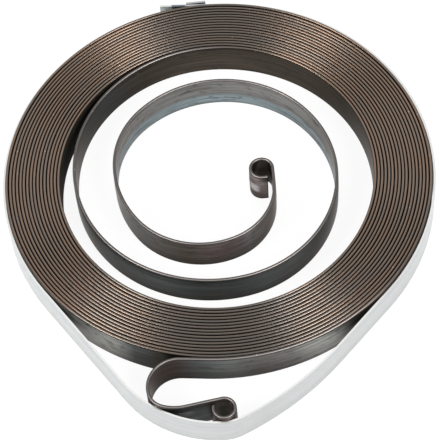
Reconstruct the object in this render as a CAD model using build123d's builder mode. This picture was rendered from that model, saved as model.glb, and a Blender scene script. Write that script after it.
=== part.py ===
"""Flat spiral power spring, packed flat in its shipping strap.

Two pieces in millimetres, Z up, resting on Z = 0 with the coil's axis on the Z axis:

* spiral_spring: one strip of spring steel. A rolled eye and two loose turns stand inside
  a tight pack of turns, and the outer end folds back into a hook with a rolled eye.
* retaining_strap: a thin steel band drawn round the pack and the hook. Its two ends lock
  at the back, a necked tongue through a slot.

Every outline is a walk along the strip's middle, made of straight runs and tangent arcs.
"""

import os
from math import acos, atan2, cos, degrees, radians, sin, sqrt

from build123d import *

# Spring strip
strip_thickness = 0.56
strip_width = 7.1

# Packed turns
pack_bore_radius = 28.78
turn_gap = 0.08
half_turns = 33
chords_per_half_turn = 40

# Loose turns, walked inwards from the pack: (radius of the strip's middle, degrees turned)
loose_bends = (
    (26.5, 104.0),
    (25.6, 85.5),
    (22.4, 124.0),
    (21.0, 88.0),
    (17.1, 45.5),
    (20.7, 37.0),
    (15.2, 77.5),
    (12.0, 68.5),
)
inner_leg = 3.3
inner_eye_bore = 1.77
inner_eye_turn = 272.0
inner_eye_tail = 0.9

# Outer hook, walked outwards from the pack: radii of the strip's middle
exit_angle = 6.7
hook_lead = 4.6
fold_radius = 5.4
fold_turn = 109.0
nip_radius = 3.55
nip_turn = 57.5
relief_radius = 8.05
relief_turn = 28.7
hook_leg = 6.5
outer_eye_bore = 1.64
outer_eye_turn = 297.0

# Retaining strap, measured on its inner face
strap_thickness = 0.4
strap_width = 6.4
left_clearance = 0.06
right_clearance = 0.22
shoulder_slack = 0.3
hook_clearance = 1.06
nose_radius = 8.0
nose_clearance = 0.05
nose_angle = 93.0
left_blend_radius = 21.0
right_blend_radius = 58.0
right_bulge = 6.7

# Strap closure: the slotted end lies outside the tongued one
slotted_end_angle = 86.0
slotted_end_length = 11.5
tongue_angle = 99.0
neck_rise = 22.0
neck_drop = 30.0
neck_bend_radius = 1.0
neck_length = 2.1
neck_width = 2.8
head_length = 3.8
slot_length = 2.6
slot_clearance = 0.3

pitch = strip_thickness + turn_gap
first_radius = pack_bore_radius + strip_thickness / 2


def polar(radius, angle):
    """Point at a radius and an angle in degrees about the origin."""
    return Vector(radius * cos(radians(angle)), radius * sin(radians(angle)))


def bearing(vector):
    """Angle of a vector in degrees."""
    return degrees(atan2(vector.Y, vector.X))


class Walk:
    """A strip seen on edge: from a start, straight runs and tangent bends.

    Each step holds the curves of both faces, so that arcs stay true on either side.
    """

    def __init__(self, start, heading, thickness):
        self.here = start
        self.heading = heading
        self.thickness = thickness
        self.steps = []

    def side(self, offset):
        """Point beside the strip's middle, to the left for a positive offset."""
        return self.here + polar(offset, self.heading + 90)

    def run(self, length):
        """Go straight on."""
        offsets = self.thickness / 2, -self.thickness / 2
        starts = [self.side(offset) for offset in offsets]
        self.here += polar(length, self.heading)
        ends = [self.side(offset) for offset in offsets]
        self.steps.append([(Line, pair) for pair in zip(starts, ends)])

    def bend(self, radius, turn, chords=0):
        """Turn left by a positive angle or right by a negative one; give the centre.

        A number of chords draws the bend as that many flats instead of one true arc.
        """
        hand = 1 if turn > 0 else -1
        centre = self.side(hand * radius)
        start_angle = self.heading - hand * 90
        radii = radius - hand * self.thickness / 2, radius + hand * self.thickness / 2
        if chords:
            angles = [start_angle + turn * chord / chords for chord in range(chords + 1)]
            self.steps.append([(Polyline, [centre + polar(r, a) for a in angles]) for r in radii])
        else:
            self.steps.append([(CenterArc, (centre, r, start_angle, turn)) for r in radii])
        self.here = centre + polar(radius, start_angle + turn)
        self.heading += turn
        return centre

    def wrap(self, radius, heading):
        """Turn right to a heading, with the right-hand face on a circle."""
        self.bend(radius + self.thickness / 2, -((self.heading - heading) % 360))

    def draw(self):
        """Draw both faces and the two ends, as the closed outline of the strip."""
        left, right = ([shape(*where) for shape, where in side] for side in zip(*self.steps))
        Line(left[0] @ 0, right[0] @ 0)
        Line(left[-1] @ 1, right[-1] @ 1)


def belt_heading(centre_a, radius_a, centre_b, radius_b):
    """Heading of a belt from circle a to circle b, with both circles on its right."""
    across = centre_b - centre_a
    return bearing(across) + degrees(acos((radius_a - radius_b) / across.length)) - 90


def blend_centre(centre, radius, on_run, heading, blend_radius, side):
    """Centre of an arc that joins a straight run to a smaller circle inside the arc.

    The run passes through on_run, with both on its right. The arc's centre lies along
    the run from the circle's own, behind it for side -1 and ahead of it for side 1.
    """
    along, inward = polar(1, heading), polar(1, heading - 90)
    offset = blend_radius - (centre - on_run).dot(inward)
    reach = sqrt((blend_radius - radius) ** 2 - offset**2)
    return centre + inward * offset + along * (side * reach)


# Spring: one walk, from the inner eye's tip through the pack to the outer eye's tip
inner_eye_radius = inner_eye_bore + strip_thickness / 2
inner_end = Walk(Vector(0, first_radius), 180, strip_thickness)
for radius, turn in loose_bends:
    inner_end.bend(radius, turn)
inner_end.run(inner_leg)
inner_end.bend(inner_eye_radius, inner_eye_turn)
inner_end.run(inner_eye_tail)

spring = Walk(inner_end.here, inner_end.heading + 180, strip_thickness)
spring.run(inner_eye_tail)
inner_eye_centre = spring.bend(inner_eye_radius, -inner_eye_turn)
spring.run(inner_leg)
for radius, turn in reversed(loose_bends):
    spring.bend(radius, -turn)
for half in range(half_turns):
    spring.bend(first_radius + pitch * (half / 2 + 0.25), -180, chords_per_half_turn)
spring.bend(first_radius + pitch * (half_turns / 2 + 0.25), -exit_angle)
spring.run(hook_lead)
hook_centre = spring.bend(fold_radius, fold_turn)
spring.bend(nip_radius, nip_turn)
spring.bend(relief_radius, relief_turn)
spring.run(hook_leg)
outer_eye_centre = spring.bend(outer_eye_bore + strip_thickness / 2, -outer_eye_turn)

with BuildPart() as spiral_spring:
    with BuildSketch():
        with BuildLine():
            spring.draw()
        make_face()
    extrude(amount=strip_width)

# Strap: the circles that its inner face wraps, and the straight runs between them
right_face = first_radius + pitch * (half_turns / 2 - 0.25) + strip_thickness / 2
left_face = right_face - pitch / 2
wrap_radius = (right_face + right_clearance + left_face + left_clearance) / 2
wrap_centre = Vector(right_face + right_clearance - wrap_radius, 0)
shoulder_radius = wrap_radius + shoulder_slack
shoulder_centre = Vector(right_face + right_clearance - shoulder_radius, 0)
hook_face = fold_radius + strip_thickness / 2 + hook_clearance
eye_face = outer_eye_bore + strip_thickness + nose_clearance
nose_centre = outer_eye_centre + polar(nose_radius - eye_face, nose_angle)

right_heading = right_bulge + belt_heading(
    shoulder_centre, shoulder_radius, nose_centre, nose_radius
)
right_start = shoulder_centre + polar(shoulder_radius, right_heading + 90)
right_blend = blend_centre(
    nose_centre, nose_radius, right_start, right_heading, right_blend_radius, -1
)
right_end = right_blend + polar(right_blend_radius, right_heading + 90)

left_heading = belt_heading(hook_centre, hook_face, wrap_centre, wrap_radius)
left_end = wrap_centre + polar(wrap_radius, left_heading + 90)
left_blend = blend_centre(
    nose_centre, nose_radius, left_end, left_heading, left_blend_radius, 1
)
left_start = left_blend + polar(left_blend_radius, left_heading + 90)

# Strap: middle of the band, clockwise from the slotted end round to the tongued one
slotted_heading = slotted_end_angle - 90
slotted_bend = wrap_centre + polar(wrap_radius + strap_thickness / 2, slotted_end_angle)
strap_start = slotted_bend - polar(slotted_end_length, slotted_heading)

strap = Walk(strap_start, slotted_heading, strap_thickness)
strap.run(slotted_end_length)
strap.wrap(wrap_radius, -90)
strap.wrap(shoulder_radius, right_heading)
strap.run((right_end - right_start).length)
strap.wrap(right_blend_radius, bearing(nose_centre - right_blend) - 90)
strap.wrap(nose_radius, bearing(nose_centre - left_blend) - 90)
strap.wrap(left_blend_radius, left_heading)
strap.run((left_end - left_start).length)
strap.wrap(wrap_radius, tongue_angle - 90)

neck = Walk(strap.here, strap.heading, strap_thickness)
neck.bend(neck_bend_radius, neck_rise)
neck.run(neck_length)
slot_centre = neck.here - polar(neck_length / 2, neck.heading)
neck.bend(neck_bend_radius, -neck_drop)

head = Walk(neck.here, neck.heading, strap_thickness)
head.run(head_length)

with BuildPart() as retaining_strap:
    with BuildSketch():
        with BuildLine():
            strap.draw()
        make_face()
    extrude(amount=strap_width)
    with Locations((slot_centre.X, slot_centre.Y, strap_width / 2)):
        slot_width = neck_width + 2 * slot_clearance
        Box(slot_length, 4 * strap_thickness, slot_width, mode=Mode.SUBTRACT)
    with BuildSketch(Plane.XY.offset((strap_width - neck_width) / 2)):
        with BuildLine():
            neck.draw()
        make_face()
    extrude(amount=neck_width)
    with BuildSketch():
        with BuildLine():
            head.draw()
        make_face()
    extrude(amount=strap_width)

spiral_spring.part.label = "spiral_spring"
retaining_strap.part.label = "retaining_strap"

os.makedirs("parts", exist_ok=True)
for piece in (spiral_spring.part, retaining_strap.part):
    export_step(piece, f"parts/{piece.label}.step")
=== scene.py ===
"""Looks of a flat spiral power spring held in its shipping strap.

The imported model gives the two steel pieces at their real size. The spring is swept again
along the same path with the rounded edges and the faint bow of rolled strip, and finished
as oil-blued spring steel with bronze edges. The strap keeps its solid and is finished as
galvanised strapping with a soft cut edge.
"""

import logging
import math
from dataclasses import dataclass, field
from enum import Enum
from typing import Any, ClassVar, Mapping, Sequence, Union

import bpy
from mathutils import Matrix, Vector

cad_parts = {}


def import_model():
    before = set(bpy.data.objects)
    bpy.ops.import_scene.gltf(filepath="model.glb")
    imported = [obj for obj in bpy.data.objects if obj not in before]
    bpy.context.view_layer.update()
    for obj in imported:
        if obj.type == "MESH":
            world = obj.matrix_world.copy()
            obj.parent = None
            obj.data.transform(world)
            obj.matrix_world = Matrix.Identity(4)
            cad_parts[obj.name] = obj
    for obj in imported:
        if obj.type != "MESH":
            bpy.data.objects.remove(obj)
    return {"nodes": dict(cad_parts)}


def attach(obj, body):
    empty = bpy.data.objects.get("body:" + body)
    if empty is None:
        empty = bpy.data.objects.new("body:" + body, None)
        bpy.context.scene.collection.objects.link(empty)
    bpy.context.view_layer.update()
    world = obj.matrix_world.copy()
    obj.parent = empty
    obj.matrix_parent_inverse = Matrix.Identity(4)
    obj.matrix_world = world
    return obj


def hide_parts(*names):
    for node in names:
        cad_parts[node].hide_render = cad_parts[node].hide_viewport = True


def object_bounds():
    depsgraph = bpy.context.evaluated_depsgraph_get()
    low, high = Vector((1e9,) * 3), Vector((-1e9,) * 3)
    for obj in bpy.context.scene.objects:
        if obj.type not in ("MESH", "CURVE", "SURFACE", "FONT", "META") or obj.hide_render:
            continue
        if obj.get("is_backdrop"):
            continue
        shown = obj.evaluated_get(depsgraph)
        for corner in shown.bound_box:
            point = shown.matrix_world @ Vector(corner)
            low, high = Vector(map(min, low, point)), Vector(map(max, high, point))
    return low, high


LOG = logging.getLogger("spring")
MM = 0.001
GRAIN_DEPTH = 0.01 * MM
WHITE = (1.0, 1.0, 1.0)
Colour = tuple[float, float, float]
Number = Union["Signal", float]
Paint = Union[Colour, bpy.types.NodeSocket]


# --------------------------------------------------------------------------------------
# Path and sweep of a strip
# --------------------------------------------------------------------------------------


@dataclass(frozen=True)
class Station:
    """One cross-section of a strip, in millimetres and degrees.

    Attributes:
        x: Place of the strip's middle along X.
        y: Place of the strip's middle along Y.
        heading: Direction of travel, from +X towards +Y.
        along: Distance walked so far.
    """

    x: float
    y: float
    heading: float
    along: float

    def beside(self, offset: float) -> tuple[float, float]:
        """The point beside the middle, to the left for a positive offset."""
        angle = math.radians(self.heading + 90)
        return self.x + offset * math.cos(angle), self.y + offset * math.sin(angle)


@dataclass
class Walk:
    """A strip's middle line, walked as straight runs and tangent bends.

    Attributes:
        here: The station where the walk stands.
        step: Most degrees between two stations of a wide bend.
        wide: Least radius of a wide bend, in millimetres.
        stretch: How many times longer the step of a tight bend may be.
        stations: All stations so far.
    """

    here: Station
    step: float = 2.0
    wide: float = 12.0
    stretch: float = 2.5
    stations: list[Station] = field(default_factory=list)

    def __post_init__(self) -> None:
        """Keep the first station."""
        self.stations.append(self.here)

    def go(self, x: float, y: float, heading: float, length: float) -> None:
        """Stand at a new station, a length beyond the last."""
        self.here = Station(x, y, heading, self.here.along + length)
        self.stations.append(self.here)

    def run(self, length: float, parts: int = 4) -> None:
        """Go straight on.

        Args:
            length: Length of the run.
            parts: How many stations it gets.
        """
        for _ in range(parts):
            angle = math.radians(self.here.heading)
            x = self.here.x + length / parts * math.cos(angle)
            y = self.here.y + length / parts * math.sin(angle)
            self.go(x, y, self.here.heading, length / parts)

    def bend(self, radius: float, turn: float) -> None:
        """Turn along an arc.

        Args:
            radius: Radius of the strip's middle.
            turn: Degrees turned, to the left where positive.
        """
        hand = math.copysign(1.0, turn)
        x, y = self.here.beside(hand * radius)
        widest = self.step * max(1.0, min(self.stretch, self.wide / radius))
        parts = math.ceil(abs(turn) / widest)
        for _ in range(parts):
            heading = self.here.heading + turn / parts
            angle = math.radians(heading - hand * 90)
            self.go(
                x + radius * math.cos(angle),
                y + radius * math.sin(angle),
                heading,
                radius * math.radians(abs(turn)) / parts,
            )


@dataclass(frozen=True)
class Section:
    """Cross-section of rolled strip, with rounded edges, in millimetres.

    Attributes:
        thickness: Thickness of the strip.
        width: Width of the strip, which stands upright.
        edge: Radius of the corners.
        bow: How far the middle of both faces stands out to the left.
        corner_parts: Facets in each corner.
    """

    thickness: float
    width: float
    edge: float
    bow: float = 0.06
    corner_parts: int = 4

    def outline(self) -> list[tuple[float, float]]:
        """Points round the section.

        Returns:
            Offset to the left and height of each point, once round.
        """
        half, high = self.thickness / 2 - self.edge, self.width - self.edge
        corners = ((half, high), (-half, high), (-half, self.edge), (half, self.edge))
        faces_after = {1: -self.thickness / 2, 3: self.thickness / 2}
        points = []
        for number, (offset, height) in enumerate(corners):
            for part in range(self.corner_parts + 1):
                angle = math.radians(90 * (number + part / self.corner_parts))
                across = offset + self.edge * math.cos(angle)
                points.append((across, height + self.edge * math.sin(angle)))
            if number in faces_after:
                points.append((faces_after[number] + self.bow, self.width / 2))
        return points


@dataclass(frozen=True)
class Ripple:
    """A slow unevenness along a strip, as three sines that never fall in step.

    Attributes:
        size: Most that it adds, in millimetres.
        lengths: The three wave lengths, in millimetres.
    """

    size: float
    lengths: tuple[float, float, float]

    def at(self, along: float) -> float:
        """The unevenness at a distance along the strip."""
        waves = [math.sin(2 * math.pi * along / length) for length in self.lengths]
        return self.size * sum(waves) / len(waves)


@dataclass(frozen=True)
class Rise:
    """A height that a strip gains smoothly between two places along it, in millimetres.

    Attributes:
        start: Where the strip starts to rise.
        end: Where it has risen.
        size: The height gained.
    """

    start: float
    end: float
    size: float

    def at(self, along: float) -> float:
        """The height gained at a distance along the strip."""
        share = min(1.0, max(0.0, (along - self.start) / (self.end - self.start)))
        return self.size * share * share * (3 - 2 * share)


@dataclass(frozen=True)
class Sweep:
    """A closed mesh of a section carried along a path.

    Every point keeps two numbers for the finish: the distance along the strip and the
    offset across its thickness, both in millimetres.

    Attributes:
        section: The section to carry.
        stations: The path's cross-sections, in order.
        sway: Unevenness to the side.
        lift: Unevenness in height.
        rise: Height gained towards the end.
    """

    ALONG: ClassVar[str] = "along"
    ACROSS: ClassVar[str] = "across"

    section: Section
    stations: Sequence[Station]
    sway: Ripple
    lift: Ripple
    rise: Rise

    def mesh(self, name: str) -> bpy.types.Mesh:
        """Build the mesh in metres.

        Args:
            name: Name of the mesh.

        Returns:
            The mesh, closed at both ends, with its two coordinates as attributes.
        """
        outline = self.section.outline()
        points, along, across = [], [], []
        for station in self.stations:
            sway, lift = self.sway.at(station.along), self.lift.at(station.along)
            rise = self.rise.at(station.along)
            for offset, height in outline:
                x, y = station.beside(offset + sway)
                share = height / self.section.width
                points.append((x * MM, y * MM, (height + lift * share + rise) * MM))
                along.append(station.along)
                across.append(offset)
        mesh = bpy.data.meshes.new(name)
        mesh.from_pydata(points, [], self.faces(len(outline)))
        for label, values in ((self.ALONG, along), (self.ACROSS, across)):
            mesh.attributes.new(label, "FLOAT", "POINT").data.foreach_set("value", values)
        mesh.update()
        return mesh

    def faces(self, count: int) -> list[tuple[int, ...]]:
        """Faces between neighbouring rings of points, and one cap at each end.

        Args:
            count: Points in a ring.

        Returns:
            The faces' points.
        """
        faces: list[tuple[int, ...]] = []
        for ring in range(len(self.stations) - 1):
            here, there = ring * count, (ring + 1) * count
            for spot in range(count):
                after = (spot + 1) % count
                faces.append((here + spot, here + after, there + after, there + spot))
        last = (len(self.stations) - 1) * count
        faces.append(tuple(reversed(range(count))))
        faces.append(tuple(range(last, last + count)))
        return faces


# --------------------------------------------------------------------------------------
# Shader graph
# --------------------------------------------------------------------------------------


class Signal:
    """A node's output, used as a number in a Python expression."""

    def __init__(self, graph: "Graph", socket: bpy.types.NodeSocket) -> None:
        """Wrap a socket of a graph."""
        self.graph = graph
        self.socket = socket

    def math(self, operation: str, *values: Number) -> "Signal":
        """One Math node.

        Args:
            operation: Blender's name of the operation.
            values: Its inputs in order, signals or numbers.

        Returns:
            The result.
        """
        node = self.graph.add("Math", {"operation": operation}, dict(enumerate(values)))
        return Signal(self.graph, node.outputs[0])

    def __add__(self, other: Number) -> "Signal":
        """Sum."""
        return self.math("ADD", self, other)

    def __sub__(self, other: Number) -> "Signal":
        """Difference."""
        return self.math("SUBTRACT", self, other)

    def __rsub__(self, other: Number) -> "Signal":
        """Difference from a number."""
        return self.math("SUBTRACT", other, self)

    def __mul__(self, other: Number) -> "Signal":
        """Product."""
        return self.math("MULTIPLY", self, other)

    def __truediv__(self, other: Number) -> "Signal":
        """Quotient."""
        return self.math("DIVIDE", self, other)

    def __abs__(self) -> "Signal":
        """Size without its sign."""
        return self.math("ABSOLUTE", self)

    __radd__ = __add__
    __rmul__ = __mul__

    def ease(self, low: float, high: float) -> "Signal":
        """Rise smoothly from 0 to 1.

        Args:
            low: Where the result is 0.
            high: Where it is 1, which may be the lower of the two.

        Returns:
            The eased signal.
        """
        node = self.graph.add(
            "MapRange",
            {"interpolation_type": "SMOOTHSTEP"},
            {"Value": self, "From Min": low, "From Max": high},
        )
        return Signal(self.graph, node.outputs[0])

    def between(self, low: float, high: float, soft: float) -> "Signal":
        """1 between two values and 0 outside them, with soft flanks."""
        return self.ease(low - soft, low + soft) * self.ease(high + soft, high - soft)


class Graph:
    """A material's or a world's node tree."""

    def __init__(self, tree: bpy.types.NodeTree) -> None:
        """Empty a tree."""
        self.tree = tree
        tree.nodes.clear()

    def add(
        self, kind: str, settings: Mapping[str, Any], inputs: Mapping[Any, Any]
    ) -> bpy.types.Node:
        """Add one node.

        Args:
            kind: Node type, without its ShaderNode prefix.
            settings: Its properties, which are set first.
            inputs: Values or links of its sockets, by name or number.

        Returns:
            The node.
        """
        node = self.tree.nodes.new("ShaderNode" + kind)
        for name, value in settings.items():
            if name == "stops":
                self.set_stops(node.color_ramp, value)
            else:
                setattr(node, name, value)
        for name, value in inputs.items():
            socket = node.inputs[name]
            value = value.socket if isinstance(value, Signal) else value
            if isinstance(value, bpy.types.NodeSocket):
                self.tree.links.new(value, socket)
            elif isinstance(value, tuple) and socket.type == "RGBA":
                socket.default_value = (*value[:3], 1.0)
            else:
                socket.default_value = value
        return node

    def set_stops(
        self, ramp: bpy.types.ColorRamp, stops: Sequence[tuple[float, Colour]]
    ) -> None:
        """Give a colour ramp its stops.

        Args:
            ramp: The ramp.
            stops: Places from 0 to 1, in order, with their colours.
        """
        while len(ramp.elements) < len(stops):
            ramp.elements.new(1.0)
        for element, (position, colour) in zip(ramp.elements, stops):
            element.position = position
            element.color = (*colour, 1.0)

    def attribute(self, name: str) -> Signal:
        """A number kept on the mesh."""
        node = self.add("Attribute", {"attribute_name": name}, {})
        return Signal(self, node.outputs["Fac"])

    def split(self, vector: bpy.types.NodeSocket) -> tuple[Signal, Signal, Signal]:
        """The three numbers of a vector."""
        x, y, z = self.add("SeparateXYZ", {}, {0: vector}).outputs
        return Signal(self, x), Signal(self, y), Signal(self, z)

    def place(self) -> tuple[Signal, Signal, Signal]:
        """The point on the object, as three numbers in metres."""
        return self.split(self.add("TexCoord", {}, {}).outputs["Object"])

    def combine(self, x: Number, y: Number, z: Number) -> bpy.types.NodeSocket:
        """A vector of three numbers."""
        return self.add("CombineXYZ", {}, {0: x, 1: y, 2: z}).outputs[0]

    def noise(
        self, where: tuple[Number, Number, Number], detail: float, rough: float = 0.5
    ) -> Signal:
        """Smooth noise from about 0 to 1, with one feature to a unit.

        Args:
            where: The three coordinates that it is looked up by.
            detail: Octaves.
            rough: Weight of the finer octaves.

        Returns:
            The noise.
        """
        place = self.combine(*where)
        inputs = {"Vector": place, "Scale": 1.0, "Detail": detail, "Roughness": rough}
        return Signal(self, self.add("TexNoise", {}, inputs).outputs[0])

    def specks(self, where: tuple[Number, Number, Number], size: float) -> Signal:
        """Small dots in a few cells of a random pattern, with one cell to a unit.

        Args:
            where: The three coordinates that it is looked up by.
            size: Radius of the dots, in cells.

        Returns:
            1 in a dot and 0 outside.
        """
        node = self.add("TexVoronoi", {}, {"Vector": self.combine(*where), "Scale": 1.0})
        chosen = Signal(self, node.outputs["Color"]).ease(0.60, 0.64)
        return Signal(self, node.outputs["Distance"]).ease(size, size * 0.4) * chosen

    def shades(self, along: Signal, tints: Sequence["Tint"]) -> bpy.types.NodeSocket:
        """Colours that follow each other along a strip.

        Args:
            along: Distance along the strip, in millimetres.
            tints: The colours in order, at least two.

        Returns:
            The colour.
        """
        start, length = tints[0].along, tints[-1].along - tints[0].along
        stops = [((tint.along - start) / length, tint.colour) for tint in tints]
        factor = (along - start) / length
        return self.add("ValToRGB", {"stops": stops}, {0: factor}).outputs[0]

    def blend(
        self, factor: Number, low: Paint, high: Paint, mode: str = "MIX"
    ) -> bpy.types.NodeSocket:
        """Mix two colours.

        Args:
            factor: Share of the second.
            low: First colour, a tuple or a link.
            high: Second colour, a tuple or a link.
            mode: Blender's name of the way they mix.

        Returns:
            The mixed colour.
        """
        settings = {"data_type": "RGBA", "blend_type": mode}
        return self.add("Mix", settings, {0: factor, 6: low, 7: high}).outputs[2]

    def raised(self, height: Signal, strength: float) -> bpy.types.NodeSocket:
        """A normal raised by fine grain.

        Args:
            height: Height from 0 to 1, where 1 is the depth of the grain.
            strength: Share of the effect.

        Returns:
            The normal.
        """
        inputs = {"Height": height, "Distance": GRAIN_DEPTH, "Strength": strength}
        return self.add("Bump", {}, inputs).outputs[0]

    def steel(self, **inputs: Any) -> None:
        """End the tree in one surface of bare metal.

        Args:
            inputs: Base colour, roughness and normal, by socket name with underscores.
        """
        values = {name.replace("_", " "): value for name, value in inputs.items()}
        surface = self.add("BsdfPrincipled", {}, {"Metallic": 1.0, **values})
        self.add("OutputMaterial", {}, {"Surface": surface.outputs[0]})


def material(name: str) -> tuple[bpy.types.Material, Graph]:
    """Make a node material.

    Args:
        name: Name of the material.

    Returns:
        The material and its empty graph.
    """
    made = bpy.data.materials.new(name)
    made.use_nodes = True
    return made, Graph(made.node_tree)


# --------------------------------------------------------------------------------------
# Finishes
# --------------------------------------------------------------------------------------


@dataclass(frozen=True)
class Tint:
    """A colour of the strip's face at a distance along it, in millimetres."""

    along: float
    colour: Colour


@dataclass(frozen=True)
class Span:
    """A stretch with soft flanks, in millimetres.

    Attributes:
        low: Where it starts.
        high: Where it ends.
        soft: Half the length of each flank.
    """

    low: float
    high: float
    soft: float

    def cover(self, signal: Signal) -> Signal:
        """1 where a signal lies in the stretch and 0 outside it."""
        return signal.between(self.low, self.high, self.soft)


@dataclass(frozen=True)
class Zones:
    """Where the parts of the spring's strip end, in millimetres along it.

    Attributes:
        loose: End of the loose turns.
        pack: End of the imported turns.
        total: End of the strip, at the outer eye's tip.
    """

    loose: float
    pack: float
    total: float

    def from_tip(self, far: float, near: float, soft: float) -> Span:
        """A stretch given by its distances from the outer eye's tip."""
        return Span(self.total - far, self.total - near, soft)


@dataclass(frozen=True)
class Surface:
    """What varies over the strip's surface: coordinates, places and noises.

    Attributes:
        x: Place along X, in metres.
        along: Distance along the strip, in millimetres.
        across: Offset across its thickness, in millimetres.
        height: Height above the floor, in millimetres.
        inside: 1 on the face that looks to the coil's middle.
        outside: 1 on the face that looks away from it.
        on_edge: 1 on the strip's two edges.
        packed: 1 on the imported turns.
        shaded: 1 on the inside of the pack where the loose turns shade it.
        streaks: Noise drawn out along the strip.
        clouds: Noise in long soft patches.
        smudges: Noise in shorter patches.
        blotches: Noise in patches that reach over several turns.
    """

    x: Signal
    along: Signal
    across: Signal
    height: Signal
    inside: Signal
    outside: Signal
    on_edge: Signal
    packed: Signal
    shaded: Signal
    streaks: Signal
    clouds: Signal
    smudges: Signal
    blotches: Signal


@dataclass(frozen=True)
class BluedSteel:
    """Oil-blued spring steel, with bronze edges and heat tint beside the formed ends.

    Places are in millimetres along the strip, from the inner eye's tip. The last turn
    starts the length LAST_TURN before the pack's end.

    Attributes:
        zones: Where the parts of the strip end.
        section: The strip's cross-section.
    """

    SLATE: ClassVar[Colour] = (0.049, 0.054, 0.054)
    OIL_BLACK: ClassVar[Colour] = (0.028, 0.031, 0.031)
    MOSS_BLACK: ClassVar[Colour] = (0.023, 0.027, 0.024)
    PITCH: ClassVar[Colour] = (0.019, 0.018, 0.014)
    # Painted shade: near black inside the inner eye and on the pack's shaded inner face
    PAINTED_SHADE_BLACK: ClassVar[Colour] = (0.010, 0.010, 0.008)
    GUNMETAL: ClassVar[Colour] = (0.084, 0.090, 0.088)
    HEATHER: ClassVar[Colour] = (0.068, 0.056, 0.054)
    PLUM: ClassVar[Colour] = (0.058, 0.043, 0.041)
    DAMSON: ClassVar[Colour] = (0.030, 0.023, 0.021)
    BARK: ClassVar[Colour] = (0.034, 0.028, 0.022)
    UMBER: ClassVar[Colour] = (0.049, 0.041, 0.033)
    SMOKE: ClassVar[Colour] = (0.075, 0.071, 0.067)
    BROWN_GREY: ClassVar[Colour] = (0.112, 0.094, 0.091)
    MILL_GREY: ClassVar[Colour] = (0.128, 0.127, 0.122)
    PALE_GREY: ClassVar[Colour] = (0.158, 0.154, 0.148)
    # Painted reflection of the floor, low on the innermost loose turn's inner face
    PAINTED_FLOOR_REFLECTION: ClassVar[Colour] = (0.185, 0.222, 0.236)
    # Painted highlight, put on the last turn's outer face where light glints off it
    PAINTED_GLINT: ClassVar[Colour] = (0.300, 0.300, 0.285)
    # Painted light: warm, and brighter towards the top inside both eyes
    EYE_PAINTED_LIGHT: ClassVar[Colour] = (0.150, 0.122, 0.104)
    WORN: ClassVar[Colour] = (0.460, 0.450, 0.445)
    GRAZING: ClassVar[Colour] = (0.600, 0.580, 0.570)
    EDGE: ClassVar[Colour] = (0.138, 0.096, 0.070)
    EDGE_GREY: ClassVar[Colour] = (0.102, 0.092, 0.082)
    # Painted shade on the edges at the coil's front and back, between the highlights
    EDGE_PAINTED_SHADE: ClassVar[Colour] = (0.080, 0.077, 0.071)
    # Painted shade on the edges' rounded flanks, in the gaps between packed turns
    EDGE_GAP_SHADE: ClassVar[Colour] = (0.052, 0.038, 0.030)
    RIM: ClassVar[Colour] = (0.062, 0.057, 0.055)
    # Painted highlight along the corners of the free ends' rims
    RIM_PAINTED_HIGHLIGHT: ClassVar[Colour] = (0.108, 0.097, 0.090)

    # The face that looks away from the coil's middle, on the loose turns
    OUTER_TINTS: ClassVar[tuple[Tint, ...]] = (
        Tint(0, BROWN_GREY),
        Tint(13, BROWN_GREY),
        Tint(19, UMBER),
        Tint(26, GUNMETAL),
        Tint(32, HEATHER),
        Tint(38, UMBER),
        Tint(44, SMOKE),
        Tint(50, GUNMETAL),
        Tint(57, PALE_GREY),
        Tint(119, MILL_GREY),
        Tint(127, PITCH),
        Tint(134, OIL_BLACK),
        Tint(141, OIL_BLACK),
        Tint(147, SLATE),
        Tint(153, SLATE),
        Tint(159, OIL_BLACK),
        Tint(165, OIL_BLACK),
        Tint(172, SLATE),
        Tint(183, SLATE),
        Tint(189, MOSS_BLACK),
        Tint(195, SLATE),
        Tint(201, PALE_GREY),
    )
    # The face that looks to the coil's middle, on the loose turns and the first packed one; the
    # shade black is painted shade
    INNER_TINTS: ClassVar[tuple[Tint, ...]] = (
        Tint(0, UMBER),
        Tint(5, UMBER),
        Tint(7, PAINTED_SHADE_BLACK),
        Tint(10, PAINTED_SHADE_BLACK),
        Tint(14, BARK),
        # The pale greys from 56 to 124 are painted reflection on the innermost loose turn
        Tint(56, MILL_GREY),
        Tint(68, PALE_GREY),
        Tint(75, MILL_GREY),
        Tint(92, MILL_GREY),
        Tint(105, PALE_GREY),
        Tint(116, MILL_GREY),
        Tint(124, PALE_GREY),
        Tint(200, SMOKE),
        Tint(206, BARK),
        Tint(212, MOSS_BLACK),
        Tint(220, OIL_BLACK),
        Tint(230, BARK),
        Tint(237, UMBER),
        Tint(262, UMBER),
        Tint(267, BARK),
        Tint(273, PITCH),
        Tint(338, PITCH),
        Tint(350, PAINTED_SHADE_BLACK),
    )
    # The outer face on the last turn and the hook, from the start of that turn; the glints are
    # painted highlights
    LAST_TINTS: ClassVar[tuple[Tint, ...]] = (
        Tint(0, MOSS_BLACK),
        Tint(22, MOSS_BLACK),
        Tint(26, PITCH),
        Tint(31, SLATE),
        Tint(36, PAINTED_GLINT),
        Tint(43, PAINTED_GLINT),
        Tint(48, MILL_GREY),
        Tint(190, SMOKE),
        Tint(200, UMBER),
        Tint(206, BARK),
        Tint(232, BARK),
        Tint(237, SMOKE),
        Tint(241, PAINTED_GLINT),
        Tint(244, PAINTED_GLINT),
        Tint(249, MILL_GREY),
        Tint(255, SMOKE),
        Tint(261, GUNMETAL),
        Tint(266, SLATE),
        Tint(270, DAMSON),
        Tint(280, DAMSON),
        Tint(292, PLUM),
        Tint(304, PLUM),
    )

    # Places along the strip, heights, and offsets across its thickness
    LAST_TURN: ClassVar[float] = 260.0
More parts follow.
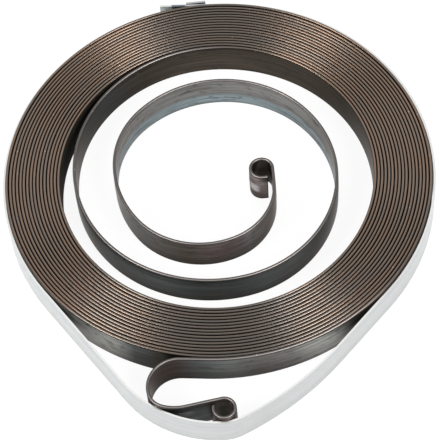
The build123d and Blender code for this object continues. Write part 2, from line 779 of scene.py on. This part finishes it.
    # Height about which the faces' painted shade turns darker below and lighter above
    PAINTED_SHADE_PIVOT: ClassVar[float] = 3.6
    EYE_TAIL: ClassVar[Span] = Span(-1.0, 13.0, 1.0)
    EYE_BORE: ClassVar[Span] = Span(3.0, 13.0, 1.0)
    EYE_WEAR: ClassVar[Span] = Span(1.7, 3.7, 0.5)
    EYE_WEAR_HEIGHT: ClassVar[Span] = Span(2.4, 4.4, 0.5)
    HOOK_WEAR_HEIGHT: ClassVar[Span] = Span(3.9, 5.4, 0.5)
    HEAT_TINT: ClassVar[Span] = Span(20.0, 38.0, 6.0)
    PAINTED_REFLECTION_TURN: ClassVar[Span] = Span(52.0, 128.0, 10.0)
    SHADED: ClassVar[Span] = Span(340.0, 420.0, 12.0)
    RIM_HIGHLIGHT_BAND: ClassVar[Span] = Span(0.15, 0.24, 0.035)

    # Roughness of the faces, what the rest adds to it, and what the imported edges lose
    FACE_ROUGHNESS: ClassVar[float] = 0.27
    STREAK_ROUGHNESS: ClassVar[float] = 0.14
    SHADED_ROUGHNESS: ClassVar[float] = 0.40
    EDGE_ROUGHNESS: ClassVar[float] = 0.22
    PACK_POLISH: ClassVar[float] = 0.29

    zones: Zones
    section: Section

    def surface(self, graph: Graph) -> Surface:
        """Lay out what the finish is painted by.

        Args:
            graph: The material's graph.

        Returns:
            The coordinates, places and noises.
        """
        along, across = graph.attribute(Sweep.ALONG), graph.attribute(Sweep.ACROSS)
        x, y, z = graph.place()
        height = z / MM
        inside = across.ease(0.05, -0.05)
        top, bottom = self.section.width - self.section.edge, self.section.edge
        on_edge = height.ease(top - 0.05, top + 0.07)
        packed = along.ease(self.zones.loose - 4, self.zones.loose + 8)
        return Surface(
            x=x,
            along=along,
            across=across,
            height=height,
            inside=inside,
            outside=across.ease(-0.05, 0.05),
            on_edge=on_edge + height.ease(bottom + 0.05, bottom - 0.07),
            packed=packed * along.ease(self.zones.pack + 2, self.zones.pack - 60),
            shaded=self.SHADED.cover(along) * inside,
            streaks=graph.noise((along * 0.06, across, height * 4.2), 4.0, 0.6),
            clouds=graph.noise((along * 0.16, across, height * 0.5), 3.0, 0.6),
            smudges=graph.noise((along * 0.45, across, height * 0.9), 2.0),
            blotches=graph.noise((x * 90, y * 90, along * 0.0035), 3.0),
        )

    def inner_face(self, graph: Graph, at: Surface) -> bpy.types.NodeSocket:
        """Colour of the face that looks to the coil's middle, with painted reflection and painted
        shade.

        Args:
            graph: The material's graph.
            at: What the finish is painted by.

        Returns:
            The colour.
        """
        colour = graph.shades(at.along, self.INNER_TINTS)
        # Painted reflection of the floor: pale blue on the lower part of the innermost loose turn
        painted_reflection_band = at.height.ease(3.1, 2.4) * self.PAINTED_REFLECTION_TURN.cover(at.along)
        colour = graph.blend(painted_reflection_band * at.clouds.ease(0.1, 0.4), colour, self.PAINTED_FLOOR_REFLECTION)
        hook_leg = self.zones.from_tip(20.0, 11.0, 1.0).cover(at.along)
        return graph.blend(hook_leg, colour, self.SLATE)

    def outer_face(self, graph: Graph, at: Surface) -> bpy.types.NodeSocket:
        """Colour of the face that looks away from the coil's middle.

        Args:
            graph: The material's graph.
            at: What the finish is painted by.

        Returns:
            The colour.
        """
        start = self.zones.pack - self.LAST_TURN
        loose = graph.shades(at.along, self.OUTER_TINTS)
        last = graph.shades(at.along - start, self.LAST_TINTS)
        return graph.blend(at.along.ease(start - 2, start + 2), loose, last)

    def faces(self, graph: Graph, at: Surface) -> bpy.types.NodeSocket:
        """Colour of both faces: rolling streaks, painted shade lower down, heat tint, oil,
        painted light in the eyes.

        Args:
            graph: The material's graph.
            at: What the finish is painted by.

        Returns:
            The colour.
        """
        colour = graph.blend(at.outside, self.inner_face(graph, at), self.outer_face(graph, at))
        tinted = self.HEAT_TINT.cover(at.along) * at.clouds.ease(0.4, 0.62)
        colour = graph.blend(tinted * 0.7, colour, self.PLUM)
        # Painted shade: faces darker towards the bottom and lighter towards the top, more on the
        # outer face; the streaks are rolling marks
        painted_shade_slope = at.outside * 0.14 + 0.05
        streaks_and_painted_shade = 0.80 + at.streaks.ease(0.3, 0.7) * 0.90
        streaks_and_painted_shade = streaks_and_painted_shade * (1.0 + (at.height - self.PAINTED_SHADE_PIVOT) * painted_shade_slope)
        colour = graph.blend(1.0, colour, graph.combine(streaks_and_painted_shade, streaks_and_painted_shade, streaks_and_painted_shade), "MULTIPLY")
        tail = self.EYE_TAIL.cover(at.along) * at.outside * at.clouds.ease(0.45, 0.58)
        colour = graph.blend(tail * 0.6, colour, self.PLUM)
        colour = graph.blend(at.smudges.ease(0.56, 0.70) * 0.45, colour, self.OIL_BLACK)
        film = at.clouds.ease(0.50, 0.72) * 0.35 * (1.0 - at.shaded)
        colour = graph.blend(film, colour, self.UMBER)
        # Painted light inside both eyes, rising towards the top
        outer_eye = at.along.ease(self.zones.total - 14, self.zones.total - 11)
        painted_eye_light = self.EYE_BORE.cover(at.along) + outer_eye
        return graph.blend(painted_eye_light * at.inside * at.height.ease(3.8, 7.0), colour, self.EYE_PAINTED_LIGHT)

    def edges(self, graph: Graph, at: Surface) -> bpy.types.NodeSocket:
        """Colour of the edges: bronze on the pack, grey on the free ends, with painted shade and
        highlights.

        Args:
            graph: The material's graph.
            at: What the finish is painted by.

        Returns:
            The colour.
        """
        off_centre = abs(at.across)
        grey = at.across.ease(-0.08, 0.22) * 0.5 + at.blotches.ease(0.38, 0.62) * 0.5
        bright = graph.blend(grey, self.EDGE, self.EDGE_GREY)
        # Painted shade: edges duller at the coil's front and back, between the lamps' highlights
        bright = graph.blend(abs(at.x).ease(0.017, 0.008) * 0.6, bright, self.EDGE_PAINTED_SHADE)
        # Painted shade on the rounded flanks, between the packed turns
        pack_edge = graph.blend(off_centre.ease(0.265, 0.13), self.EDGE_GAP_SHADE, bright)
        hook = at.along.ease(self.zones.total - 34, self.zones.total - 30)
        # Painted highlight lines along the rims' corners, fainter on the hook
        painted_highlights = self.RIM_HIGHLIGHT_BAND.cover(off_centre) * at.blotches.ease(0.3, 0.6)
        rim = graph.blend(painted_highlights * (1.0 - hook * 0.6), self.RIM, self.RIM_PAINTED_HIGHLIGHT)
        return graph.blend(at.packed, rim, pack_edge)

    def worn(
        self, graph: Graph, at: Surface, colour: bpy.types.NodeSocket
    ) -> bpy.types.NodeSocket:
        """Rub a colour bare on the inner eye and the hook's leg, and dot it.

        Args:
            graph: The material's graph.
            at: What the finish is painted by.
            colour: The colour before wear.

        Returns:
            The worn colour.
        """
        eye = self.EYE_WEAR.cover(at.along) * self.EYE_WEAR_HEIGHT.cover(at.height)
        hook = self.zones.from_tip(19.4, 15.4, 1.0).cover(at.along)
        hook = hook * self.HOOK_WEAR_HEIGHT.cover(at.height) * at.streaks.ease(0.5, 0.62)
        wear = (eye + hook) * at.smudges.ease(0.3, 0.5)
        colour = graph.blend(wear * 0.9, colour, self.WORN)
        dots = graph.specks((at.along * 0.5, at.across * 0.5, at.height * 0.5), 0.08)
        return graph.blend(dots * 0.4, colour, self.WORN)

    def make(self) -> bpy.types.Material:
        """Build the material.

        Returns:
            The material.
        """
        made, graph = material("blued_spring_steel")
        at = self.surface(graph)
        colour = graph.blend(at.on_edge, self.faces(graph, at), self.edges(graph, at))
        off_edge = 1.0 - at.on_edge
        face = at.streaks * self.STREAK_ROUGHNESS + at.shaded * self.SHADED_ROUGHNESS
        edge = self.EDGE_ROUGHNESS - at.packed * self.PACK_POLISH
        graph.steel(
            Specular_Tint=self.GRAZING,
            Base_Color=self.worn(graph, at, colour),
            Roughness=self.FACE_ROUGHNESS + face * off_edge + at.on_edge * edge,
            Normal=graph.raised(at.streaks * off_edge, 0.5),
        )
        return made


@dataclass(frozen=True)
class GalvanisedSteel:
    """Thin galvanised strapping: pale satin faces with a faint grain, and painted shade at the
    closure.

    The closure's places are in millimetres: along X, and along Y behind the pack.

    Attributes:
        width: Width of the strap, in millimetres.
    """

    SATIN: ClassVar[Colour] = (0.540, 0.552, 0.557)
    BRIGHT: ClassVar[Colour] = (0.630, 0.638, 0.642)
    BLUISH: ClassVar[Colour] = (0.530, 0.560, 0.585)
    GREEN_GREY: ClassVar[Colour] = (0.495, 0.510, 0.494)
    # Painted shade at the top of the strap's closure
    LOCK_SHADE: ClassVar[Colour] = (0.110, 0.122, 0.138)
    CUT_EDGE: ClassVar[Colour] = (0.400, 0.405, 0.395)
    RUST: ClassVar[Colour] = (0.330, 0.240, 0.170)

    LOCK: ClassVar[Span] = Span(-6.2, 0.6, 0.2)
    LOCK_BEHIND: ClassVar[float] = 40.0

    width: float

    def lock_shade(self, x: Signal, y: Signal, height: Signal) -> Signal:
        """Painted shade: 1 at the top of the strap's closure, and half of that on its wide head.

        Args:
            x: Place along X, in millimetres.
            y: Place along Y, in millimetres.
            height: Height, in millimetres.

        Returns:
            The share of the painted shade.
        """
        beside = self.LOCK.cover(x) * (1.0 - x.ease(-3.8, -3.2) * 0.5)
        behind = y.ease(self.LOCK_BEHIND - 0.1, self.LOCK_BEHIND + 0.1)
        return beside * behind * height.ease(self.width - 0.9, self.width - 0.3)

    def inner_chamfer(self, graph: Graph, x: Signal, y: Signal) -> Signal:
        """1 on the upper chamfer that looks to the coil.

        Args:
            graph: The material's graph.
            x: Place along X, in metres.
            y: Place along Y, in metres.

        Returns:
            The chamfer's mask.
        """
        facing = graph.add("NewGeometry", {}, {}).outputs["True Normal"]
        out_x, out_y, up = graph.split(facing)
        return up.between(0.25, 0.92, 0.06) * (x * out_x + y * out_y).ease(0.0, -0.004)

    def make(self) -> bpy.types.Material:
        """Build the material.

        Returns:
            The material.
        """
        made, graph = material("galvanised_strap_steel")
        x, y, z = graph.place()
        height = z / MM
        grain = graph.noise((x * 25, y * 25, z * 1400), 4.0, 0.6)
        bands = graph.noise((x * 12, y * 12, z * 420), 2.0)
        patches = graph.noise((x * 70, y * 70, z * 200), 3.0)
        colour = graph.blend(grain.ease(0.3, 0.7), self.SATIN, self.BRIGHT)
        colour = graph.blend(bands.ease(0.45, 0.62) * 0.7, colour, self.BLUISH)
        colour = graph.blend(height.ease(3.2, 0.6) * 0.6, colour, self.GREEN_GREY)
        colour = graph.blend(patches.ease(0.55, 0.75) * 0.5, colour, self.GREEN_GREY)
        cut = height.ease(self.width - 0.14, self.width - 0.02)
        colour = graph.blend(cut, colour, self.CUT_EDGE)
        # Painted shade over the closure's top
        colour = graph.blend(self.lock_shade(x / MM, y / MM, height), colour, self.LOCK_SHADE)
        rust = self.inner_chamfer(graph, x, y) * patches.ease(0.35, 0.5)
        colour = graph.blend(rust * 0.8, colour, self.RUST)
        graph.steel(
            Base_Color=colour,
            Roughness=0.25 + grain * 0.12,
            Normal=graph.raised(grain, 0.4),
        )
        return made


# --------------------------------------------------------------------------------------
# The two pieces
# --------------------------------------------------------------------------------------


@dataclass(frozen=True)
class Bend:
    """A bend of the strip: the radius of its middle and the degrees turned."""

    radius: float
    turn: float


@dataclass(frozen=True)
class SpiralSpring:
    """The spring's strip, from the inner eye through the pack to the outer eye.

    All lengths are in millimetres, and radii are of the strip's middle.

    Attributes:
        thickness: Thickness of the strip.
        width: Width of the strip, which is the height of the coil.
        edge: Radius of the strip's rounded corners.
        turn_gap: Gap between packed turns.
        first_radius: Radius where the pack starts.
        half_turns: Half turns in the pack.
        loose: Bends of the loose turns, from the pack inwards.
        inner_leg: Straight run between the loose turns and the inner eye.
        inner_eye: Bend of the inner eye.
        inner_tail: Straight run at the inner eye's tip.
        exit_angle: Degrees that the pack's last turn goes on to the hook.
        hook_lead: Straight run from the pack to the hook.
        hook: Bends of the hook: fold, nip and relief.
        hook_leg: Straight run from the hook to the outer eye.
        outer_eye: Bend of the outer eye.
        sway: Unevenness of the strip to the side.
        lift: Unevenness of its height.
        end_rise: Height that the last turn and the hook gain.
        rise_places: Start and end of that rise, counted back from the pack's end.
    """

    NODE: ClassVar[str] = "spiral_spring"

    thickness: float = 0.56
    width: float = 7.1
    edge: float = 0.26
    turn_gap: float = 0.08
    first_radius: float = 29.06
    half_turns: int = 33
    loose: tuple[Bend, ...] = (
        Bend(26.5, 104.0),
        Bend(25.6, 85.5),
        Bend(22.4, 124.0),
        Bend(21.0, 88.0),
        Bend(17.1, 45.5),
        Bend(20.7, 37.0),
        Bend(15.2, 77.5),
        Bend(12.0, 68.5),
    )
    inner_leg: float = 3.3
    inner_eye: Bend = Bend(2.05, 272.0)
    inner_tail: float = 0.9
    exit_angle: float = 6.7
    hook_lead: float = 4.6
    hook: tuple[Bend, ...] = (Bend(5.4, 109.0), Bend(3.55, 57.5), Bend(8.05, 28.7))
    hook_leg: float = 6.5
    outer_eye: Bend = Bend(1.92, 297.0)
    sway: Ripple = Ripple(0.024, (61.0, 97.0, 143.0))
    lift: Ripple = Ripple(0.04, (83.0, 127.0, 211.0))
    end_rise: float = 0.14
    rise_places: tuple[float, float] = (250.0, 90.0)

    def section(self) -> Section:
        """The strip's cross-section."""
        return Section(self.thickness, self.width, self.edge)

    def path(self) -> tuple[Walk, Zones]:
        """Walk the strip.

        Returns:
            The walk, from the inner eye's tip to the outer eye's, and its zones.
        """
        inward = Walk(Station(0.0, self.first_radius, 180.0, 0.0))
        for bend in self.loose:
            inward.bend(bend.radius, bend.turn)
        inward.run(self.inner_leg)
        inward.bend(self.inner_eye.radius, self.inner_eye.turn)
        inward.run(self.inner_tail)

        tip = inward.here
        walk = Walk(Station(tip.x, tip.y, tip.heading + 180, 0.0))
        walk.run(self.inner_tail)
        walk.bend(self.inner_eye.radius, -self.inner_eye.turn)
        walk.run(self.inner_leg)
        for bend in reversed(self.loose):
            walk.bend(bend.radius, -bend.turn)
        loose_end = walk.here.along
        pitch = self.thickness + self.turn_gap
        for half in range(self.half_turns):
            walk.bend(self.first_radius + pitch * (half / 2 + 0.25), -180)
        pack_end = walk.here.along
        walk.bend(self.first_radius + pitch * (self.half_turns / 2 + 0.25), -self.exit_angle)
        walk.run(self.hook_lead)
        for bend in self.hook:
            walk.bend(bend.radius, bend.turn)
        walk.run(self.hook_leg)
        walk.bend(self.outer_eye.radius, -self.outer_eye.turn)
        return walk, Zones(loose_end, pack_end, walk.here.along)

    def build(self) -> bpy.types.Object:
        """Sweep the strip, finish it and put it in the place of its solid.

        Returns:
            The piece.
        """
        walk, zones = self.path()
        rise = Rise(*(zones.pack - place for place in self.rise_places), self.end_rise)
        sweep = Sweep(self.section(), walk.stations, self.sway, self.lift, rise)
        piece = bpy.data.objects.new("spring_strip", sweep.mesh("spring_strip"))
        bpy.context.scene.collection.objects.link(piece)
        piece.data.shade_smooth()
        piece.data.materials.append(BluedSteel(zones, self.section()).make())
        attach(piece, "root")
        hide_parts(self.NODE)
        LOG.info("spring strip: %d stations, %.2f m", len(walk.stations), zones.total * MM)
        return piece


@dataclass(frozen=True)
class ShippingStrap:
    """The strap's solid, with its cut edges softened and its finish.

    Attributes:
        width: Width of the strap, in millimetres.
        edge: Width of the softened edges, in millimetres.
        sharp_angle: Least angle of an edge that is softened, in degrees.
    """

    NODE: ClassVar[str] = "retaining_strap"

    width: float = 6.4
    edge: float = 0.09
    sharp_angle: float = 40.0

    def build(self, nodes: Mapping[str, bpy.types.Object]) -> bpy.types.Object:
        """Dress the strap's solid.

        Args:
            nodes: The frame's nodes by name.

        Returns:
            The solid's object.
        """
        strap = nodes[self.NODE]
        soften = strap.modifiers.new("cut_edges", "BEVEL")
        soften.width = self.edge * MM
        soften.segments = 2
        soften.limit_method = "ANGLE"
        soften.angle_limit = math.radians(self.sharp_angle)
        soften.harden_normals = True
        strap.data.materials.clear()
        strap.data.materials.append(GalvanisedSteel(self.width).make())
        LOG.info("strap: %d faces", len(strap.data.polygons))
        return strap


# --------------------------------------------------------------------------------------
# Studio
# --------------------------------------------------------------------------------------


class Ray(Enum):
    """Kinds of ray that see the white of the backdrop."""

    CAMERA = "Is Camera Ray"
    GLOSSY = "Is Glossy Ray"
    TRANSMISSION = "Is Transmission Ray"


@dataclass(frozen=True)
class Softbox:
    """A large soft lamp that looks at the spring's middle.

    Attributes:
        name: Name of the lamp.
        azimuth: Direction from the object, in degrees from +X towards +Y.
        elevation: Height above the floor, in degrees.
        power: Power in watts.
        size: Side of the square, in metres.
        mirrored: Whether only reflections show it.
        distance: Distance from the middle, in metres.
    """

    name: str
    azimuth: float
    elevation: float
    power: float
    size: float
    mirrored: bool = False
    distance: float = 0.8

    def place(self, target: Vector) -> None:
        """Put the lamp in the scene.

        Args:
            target: What it looks at.
        """
        azimuth, elevation = math.radians(self.azimuth), math.radians(self.elevation)
        away = Vector(
            (
                math.cos(elevation) * math.cos(azimuth),
                math.cos(elevation) * math.sin(azimuth),
                math.sin(elevation),
            )
        )
        lamp = bpy.data.lights.new(self.name, "AREA")
        lamp.energy = self.power
        lamp.size = self.size
        holder = bpy.data.objects.new(self.name, lamp)
        holder.location = target + away * self.distance
        holder.rotation_mode = "QUATERNION"
        holder.rotation_quaternion = (-away).to_track_quat("-Z", "Y")
        holder.visible_diffuse = not self.mirrored
        bpy.context.scene.collection.objects.link(holder)


@dataclass(frozen=True)
class Camera:
    """The view of the spring from above its front, in millimetres and degrees.

    Attributes:
        elevation: Height above the floor, as an angle.
        distance: Distance from what it aims at.
        aim: The point that it looks at.
        roll: Turn about its own axis.
        lens: Focal length.
        sensor: Width of the sensor.
        near: Nearest distance that it sees.
        far: Farthest distance that it sees.
    """

    elevation: float = 57.07
    distance: float = 404.3
    aim: tuple[float, float, float] = (-0.216, -6.30, 0.35)
    roll: float = -4.76
    lens: float = 177.63
    sensor: float = 36.0
    near: float = 10.0
    far: float = 10000.0

    def place(self) -> None:
        """Make the camera and set it as the scene's."""
        tilt, roll = math.radians(self.elevation), math.radians(self.roll)
        back = Vector((0.0, -math.cos(tilt), math.sin(tilt)))
        right, up = Vector((1.0, 0.0, 0.0)), back.cross(Vector((1.0, 0.0, 0.0)))
        across = right * math.cos(roll) + up * math.sin(roll)
        over = up * math.cos(roll) - right * math.sin(roll)
        data = bpy.data.cameras.new("camera")
        data.lens = self.lens
        data.sensor_width = self.sensor
        holder = bpy.data.objects.new("camera", data)
        turn = Matrix((across, over, back)).transposed().to_4x4()
        spot = Vector(self.aim) + back * self.distance
        holder.matrix_world = Matrix.Translation(spot * MM) @ turn
        data.clip_start, data.clip_end = self.near * MM, self.far * MM
        bpy.context.scene.collection.objects.link(holder)
        bpy.context.scene.camera = holder


@dataclass(frozen=True)
class Studio:
    """Pale floor, white surroundings, soft lamps and the camera.

    Attributes:
        floor_size: Side of the floor, in metres.
        floor_colour: Colour of its matt share.
        floor_glow: Strength of its glowing share.
        glow_share: How much of it glows for the rays that see the white.
        world_level: Strength of the surroundings for all other rays.
        lamps: The soft lamps.
        camera: The camera.
    """

    floor_size: float = 6.0
    floor_colour: Colour = (0.60, 0.60, 0.60)
    floor_glow: float = 1.14
    glow_share: float = 0.8
    world_level: float = 0.28
    lamps: tuple[Softbox, ...] = (
        Softbox("left_front", 207.0, 45.0, 3.0, 0.28),
        Softbox("right_front", 314.0, 45.0, 3.0, 0.28),
        Softbox("top_back", 90.0, 62.0, 1.0, 0.5),
        Softbox("left_sheen", 207.0, 45.0, 14.0, 0.28, True),
        Softbox("right_sheen", 314.0, 45.0, 14.0, 0.28, True),
        Softbox("left_back_sheen", 142.0, 27.0, 0.6, 0.5, True),
        Softbox("right_back_sheen", 38.0, 27.0, 0.6, 0.5, True),
    )
    camera: Camera = Camera()

    def seen(self, graph: Graph) -> Signal:
        """Tell the rays that see the backdrop's white.

        Args:
            graph: The floor's or the world's graph.

        Returns:
            1 for such rays and 0 for all others.
        """
        path = graph.add("LightPath", {}, {})
        camera, glossy, through = (Signal(graph, path.outputs[ray.value]) for ray in Ray)
        rays = camera + glossy + through
        return rays.math("MINIMUM", rays, 1.0)

    def floor(self) -> bpy.types.Object:
        """Make the floor, which keeps the spring's shadow.

        Returns:
            The floor.
        """
        half = self.floor_size / 2
        mesh = bpy.data.meshes.new("floor")
        corners = [(-half, -half, 0.0), (half, -half, 0.0), (half, half, 0.0), (-half, half, 0.0)]
        mesh.from_pydata(corners, [], [(0, 1, 2, 3)])
        made, graph = material("pale_floor")
        matt = graph.add("BsdfDiffuse", {}, {"Color": self.floor_colour})
        glow = {"Color": WHITE, "Strength": self.floor_glow}
        light = graph.add("Emission", {}, glow)
        share = self.seen(graph) * self.glow_share
        both = graph.add("MixShader", {}, {0: share, 1: matt.outputs[0], 2: light.outputs[0]})
        graph.add("OutputMaterial", {}, {"Surface": both.outputs[0]})
        mesh.materials.append(made)
        floor = bpy.data.objects.new("floor", mesh)
        bpy.context.scene.collection.objects.link(floor)
        floor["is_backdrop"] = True
        return floor

    def world(self) -> None:
        """Surround the object with an even pale light that looks white itself."""
        world = bpy.data.worlds.new("surroundings")
        world.use_nodes = True
        bpy.context.scene.world = world
        graph = Graph(world.node_tree)
        level = self.world_level + self.seen(graph) * (1.0 - self.world_level)
        sky = graph.add("Background", {}, {"Color": WHITE, "Strength": level})
        graph.add("OutputWorld", {}, {"Surface": sky.outputs[0]})

    def build(self, target: Vector) -> None:
        """Set up the whole studio.

        Args:
            target: What the lamps look at.
        """
        scene = bpy.context.scene
        scene.view_settings.view_transform = "Standard"
        self.floor()
        self.world()
        for lamp in self.lamps:
            lamp.place(target)
        self.camera.place()
        LOG.info("studio: %d lamps", len(self.lamps))


def main() -> None:
    """Load the frame, dress its pieces and set up the studio."""
    logging.basicConfig(level=logging.INFO, format="%(name)s: %(message)s")
    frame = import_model()
    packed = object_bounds()
    SpiralSpring().build()
    ShippingStrap().build(frame["nodes"])
    Studio().build((packed[0] + packed[1]) / 2)
    bpy.context.view_layer.update()


if __name__ == "__main__":
    main()
